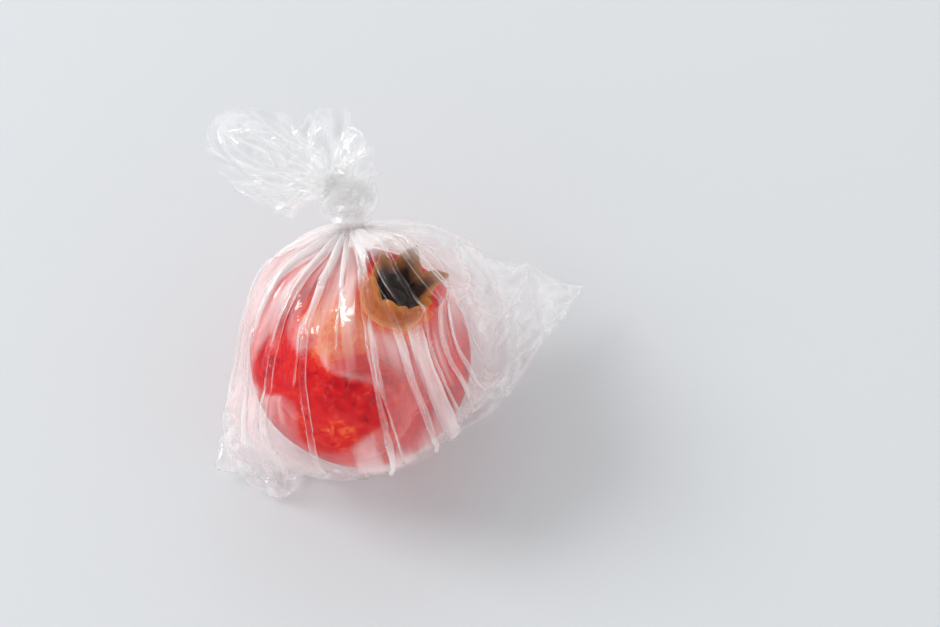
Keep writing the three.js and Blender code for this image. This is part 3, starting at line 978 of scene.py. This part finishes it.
def rind_material():
    """Red rind with veins and a yellow blush, which turns to a brown, dry crown. Its cup darkens with depth
    to near black, which is painted shade over the brown of the dried stamens.
    """
    material, tree = new_material("rind")
    tone = attribute(tree, "tone")
    broad = noise(tree, Scale=34.0, Detail=6.0, Roughness=0.65)
    speckle = noise(tree, Scale=600.0, Detail=2.0)
    veins = noise(tree, Scale=150.0, Detail=4.0, Roughness=0.7, Distortion=1.5)
    mottled = maths(tree, "MULTIPLY_ADD", broad, 0.8, maths(tree, "MULTIPLY", tone, 2.4))
    mottled = maths(tree, "MULTIPLY_ADD", veins, 0.9, mottled)
    mottled = maths(tree, "MULTIPLY_ADD", speckle, 0.3, mottled)
    skin = ramp_node(tree, mottled, {
        0.78: (0.34, 0.001, 0.006, 1),
        0.96: (0.58, 0.002, 0.008, 1),
        1.16: (0.70, 0.02, 0.012, 1),
        1.42: (0.82, 0.20, 0.05, 1),
        1.68: (0.86, 0.46, 0.16, 1),
    })
    # The crown's own brown with veins up its outside; down the cup the rising tone darkens it to near black,
    # which is painted shade in the recess.
    crown_grain_and_cup_shade = maths(tree, "MULTIPLY_ADD", veins, 0.5, maths(tree, "SUBTRACT", tone, 0.25))
    crown = ramp_node(tree, crown_grain_and_cup_shade, {
        0.25: (0.60, 0.18, 0.07, 1),
        0.55: (0.42, 0.13, 0.035, 1),
        0.90: (0.50, 0.18, 0.04, 1),
        1.22: (0.34, 0.12, 0.03, 1),
        # Near black at the cup's floor: painted shade over the dark brown of the stamens.
        1.50: (0.03, 0.008, 0.006, 1),
    })
    at_crown = node(tree, "ShaderNodeMapRange", {"Value": tone, "From Min": 0.2, "From Max": 0.36})
    colour = node(tree, "ShaderNodeMix", data_type="RGBA")
    tree.links.new(at_crown.outputs[0], colour.inputs["Factor"])
    tree.links.new(skin, colour.inputs[6])
    tree.links.new(crown, colour.inputs[7])
    grain = noise(tree, Scale=420.0, Detail=3.0)
    surface = node(
        tree,
        "ShaderNodeBsdfPrincipled",
        {
            "Base Color": colour.outputs[2],
            "Roughness": 0.5,
            "Specular IOR Level": 0.1,
            "Normal": bumps(tree, grain, 0.25, 0.0004),
        },
    )
    node(tree, "ShaderNodeOutputMaterial", {"Surface": surface.outputs[0]})
    return material


film_obj.data.materials.append(film_material())
fruit_obj.data.materials.append(rind_material())

# The stage: floor, light and camera, in metres

FLOOR_HALF = 4
SKY_AT_HORIZON = 1.96
SKY_OVERHEAD = 0.1
LAMP_DISTANCE = 3.5
# Each lamp's width, height, power, and rise and bearing in degrees
LAMPS = {
    "room": (5.2, 2.9, 22, 45, 118),
    "window": (1.4, 1.2, 54, 40, 158),
}
CAMERA_RISE = math.radians(70)
CAMERA_LENS = 82.8
CAMERA_SENSOR = 36
CAMERA_DISTANCE = 0.8
CAMERA_RIGHT = 0.0407
CAMERA_UP = 0.0161


def stage_floor():
    corners = [(-FLOOR_HALF, -FLOOR_HALF, 0), (FLOOR_HALF, -FLOOR_HALF, 0)]
    corners += [(FLOOR_HALF, FLOOR_HALF, 0), (-FLOOR_HALF, FLOOR_HALF, 0)]
    mesh = bpy.data.meshes.new("floor")
    mesh.from_pydata(corners, [], [(0, 1, 2, 3)])
    floor = bpy.data.objects.new("floor", mesh)
    bpy.context.scene.collection.objects.link(floor)
    material, tree = new_material("pale_floor")
    grain = noise(tree, Scale=900.0, Detail=2.0)
    matt = node(
        tree,
        "ShaderNodeBsdfPrincipled",
        {
            "Base Color": (0.675, 0.70, 0.725, 1),
            "Roughness": 0.85,
            "Normal": bumps(tree, grain, 0.08, 0.0003),
        },
    )
    node(tree, "ShaderNodeOutputMaterial", {"Surface": matt.outputs[0]})
    mesh.materials.append(material)


def light():
    world = bpy.data.worlds.new("soft_sky")
    world.use_nodes = True
    tree = world.node_tree
    way = node(tree, "ShaderNodeTexCoord").outputs["Generated"]
    up = node(tree, "ShaderNodeSeparateXYZ", {0: way}).outputs["Z"]
    level = node(
        tree, "ShaderNodeMapRange", {"Value": up, "To Min": SKY_AT_HORIZON, "To Max": SKY_OVERHEAD}
    )
    tree.nodes["Background"].inputs["Color"].default_value = (1, 1, 1, 1)
    tree.links.new(level.outputs[0], tree.nodes["Background"].inputs["Strength"])
    bpy.context.scene.world = world
    for name, (width, height, power, rise, bearing) in LAMPS.items():
        lamp = bpy.data.lights.new(name, "AREA")
        lamp.shape = "RECTANGLE"
        lamp.size, lamp.size_y = width, height
        lamp.energy = power
        panel = bpy.data.objects.new(name, lamp)
        away = Vector(heading(rise, bearing))
        panel.location = away * LAMP_DISTANCE
        panel.rotation_mode = "QUATERNION"
        panel.rotation_quaternion = away.to_track_quat("Z", "Y")
        bpy.context.scene.collection.objects.link(panel)


def camera():
    view = bpy.data.cameras.new("camera")
    view.sensor_width = CAMERA_SENSOR
    view.lens = CAMERA_LENS
    eye = bpy.data.objects.new("camera", view)
    up = Vector((0, math.sin(CAMERA_RISE), math.cos(CAMERA_RISE)))
    back = Vector((0, -math.cos(CAMERA_RISE), math.sin(CAMERA_RISE)))
    aim = Vector((CAMERA_RIGHT, 0, CENTRE[2] * MM)) + CAMERA_UP * up
    eye.location = aim + CAMERA_DISTANCE * back
    eye.rotation_mode = "QUATERNION"
    eye.rotation_quaternion = back.to_track_quat("Z", "Y")
    bpy.context.scene.collection.objects.link(eye)
    bpy.context.scene.camera = eye


stage_floor()
light()
camera()
bpy.context.scene.view_settings.view_transform = "Standard"
# Light passes through many layers of film in the knot and the tail.
cycles = bpy.context.scene.cycles
cycles.transparent_max_bounces = 96
cycles.max_bounces = 24
cycles.diffuse_bounces = 20
cycles.glossy_bounces = 12
cycles.transmission_bounces = 20

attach(film_obj, "root")
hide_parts("bag")
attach(fruit_obj, "root")
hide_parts("pomegranate")
